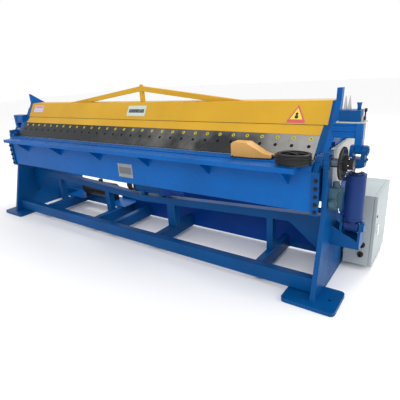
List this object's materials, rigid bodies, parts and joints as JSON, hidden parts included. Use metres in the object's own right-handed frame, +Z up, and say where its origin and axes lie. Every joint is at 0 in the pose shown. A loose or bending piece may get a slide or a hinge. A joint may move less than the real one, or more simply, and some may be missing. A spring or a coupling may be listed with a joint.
{
  "type": "sheet metal brake",
  "caption": "Hydraulic swing-beam sheet metal brake: folding beam, clamping beam lifted by two cylinders, electric cabinet and a cabled foot switch.",
  "frame": {"origin": "on the floor, in the middle of the four anchor holes", "axes": "+X along the bend line to the operator's right, +Y from the operator to the rear, +Z up"},
  "size_m": [3.754, 1.055, 1.286],
  "materials": {
    "frame_blue": "semi-gloss",
    "beam_blue": "semi-gloss",
    "amber": "semi-gloss",
    "ground_steel": "ground",
    "black_screw": "black oxide",
    "black_paint": "semi-gloss",
    "cabinet_grey": "fine texture",
    "pale_sheet": "satin",
    "navy": "satin",
    "chrome": "polished",
    "deep_blue": "semi-gloss",
    "teal_block": "cast",
    "orange": "moulded",
    "rubber": "matt",
    "black_plastic": "moulded"
  },
  "bodies": {
    "frame": {"right_side_plate": "frame_blue", "left_side_plate": "frame_blue", "floor_plates": "frame_blue", "long_rails": "frame_blue", "cross_rails": "frame_blue", "posts": "frame_blue", "lower_chord": "frame_blue", "back_panel": "deep_blue", "bed_beam": "frame_blue", "bed_table": "ground_steel", "bearings": "frame_blue", "window_guards": "pale_sheet", "cylinder_brackets": "frame_blue", "valve_block": "teal_block", "motor_body": "frame_blue", "motor_cowl": "black_paint", "pump": "deep_blue", "trays": "beam_blue", "oil_drum": "black_paint", "cabinet_box": "cabinet_grey", "cabinet_glands": "black_plastic"},
    "cabinet_door": {"cabinet_door": "cabinet_grey"},
    "door_handle": {"door_handle": "chrome"},
    "folding_beam": {"fold_ledge": "beam_blue", "bending_strip": "beam_blue", "fold_panel": "beam_blue", "fold_web": "frame_blue", "ledge_gussets": "beam_blue", "fold_arms": "frame_blue", "arm_bolts": "black_screw", "fold_shafts": "ground_steel", "dial_disc": "black_paint"},
    "clamping_beam": {"clamp_blade": "ground_steel", "blade_screws": "black_screw", "face_strip": "amber", "upper_panel": "amber", "clamp_spine": "frame_blue", "end_flanges": "frame_blue", "cheeks": "beam_blue", "clamp_pivots": "ground_steel", "lift_arms": "beam_blue", "truss": "amber", "tank_shelf": "pale_sheet", "oil_tank": "frame_blue"},
    "tank_cap": {"filler_cap": "beam_blue"},
    "tank_lever": {"valve_lever": "black_paint"},
    "right_cylinder": {"right_barrel": "navy"},
    "left_cylinder": {"left_barrel": "navy"},
    "right_rod": {"right_lift_rod": "chrome", "right_fork": "frame_blue"},
    "left_rod": {"left_lift_rod": "chrome", "left_fork": "frame_blue"},
    "foot_switch": {"switch_guard": "orange", "switch_base": "black_plastic", "strain_relief": "rubber", "cable_coil": "rubber", "cable_lead": "rubber", "cable_tail": "rubber", "cable_plug": "black_plastic"},
    "switch_pedal": {"foot_pedal": "black_plastic"}
  },
  "joints": [
    {"name": "fold", "type": "hinge", "parent": "frame", "child": "folding_beam", "pos_m": [0, -0.265, 0.835], "axis": [-1, 0, 0], "range_deg": [0, 110]},
    {"name": "clamp", "type": "hinge", "parent": "frame", "child": "clamping_beam", "pos_m": [0, 0.397, 0.58], "axis": [-1, 0, 0], "range_deg": [0, 7]},
    {"name": "right_cylinder_swing", "type": "hinge", "parent": "frame", "child": "right_cylinder", "pos_m": [1.787, -0.118, 0.418], "axis": [-1, 0, 0], "range_deg": [0, 4.6]},
    {"name": "left_cylinder_swing", "type": "hinge", "parent": "frame", "child": "left_cylinder", "pos_m": [-1.787, -0.118, 0.418], "axis": [-1, 0, 0], "range_deg": [0, 4.6]},
    {"name": "right_rod_stroke", "type": "slide", "parent": "right_cylinder", "child": "right_rod", "axis": [0, 0, 1], "range_m": [0, 0.065]},
    {"name": "left_rod_stroke", "type": "slide", "parent": "left_cylinder", "child": "left_rod", "axis": [0, 0, 1], "range_m": [0, 0.065]},
    {"name": "foot_switch_lift", "type": "slide", "parent": "frame", "child": "foot_switch", "axis": [0, 0, 1], "range_m": [0, 0.42]},
    {"name": "pedal", "type": "hinge", "parent": "foot_switch", "child": "switch_pedal", "pos_m": [1.116, -0.307, 0.8655], "axis": [0, 1, 0], "range_deg": [0, 8], "stiffness_Nm_per_rad": 4, "springref_deg": -20.05},
    {"name": "cabinet_door_swing", "type": "hinge", "parent": "frame", "child": "cabinet_door", "pos_m": [1.858, 0.554, 0.285], "axis": [0, 0, 1], "range_deg": [0, 110]},
    {"name": "door_handle_turn", "type": "hinge", "parent": "cabinet_door", "child": "door_handle", "pos_m": [1.88, 0.147, 0.332], "axis": [1, 0, 0], "range_deg": [0, 90]},
    {"name": "tank_cap_lift", "type": "slide", "parent": "clamping_beam", "child": "tank_cap", "axis": [0, 0, 1], "range_m": [0, 0.08]},
    {"name": "tank_lever_turn", "type": "hinge", "parent": "clamping_beam", "child": "tank_lever", "pos_m": [1.8045, -0.113, 1.056], "axis": [-1, 0, 0], "range_deg": [0, 90]}
  ],
  "couplings": [
    {"joint": "right_cylinder_swing", "follows": "clamp", "ratio": 0.633},
    {"joint": "left_cylinder_swing", "follows": "clamp", "ratio": 0.633},
    {"joint": "right_rod_stroke", "follows": "clamp", "m_per_rad": 0.508},
    {"joint": "left_rod_stroke", "follows": "clamp", "m_per_rad": 0.508},
    {"joint": "foot_switch_lift", "follows": "fold", "m_per_rad": 0.215}
  ]
}
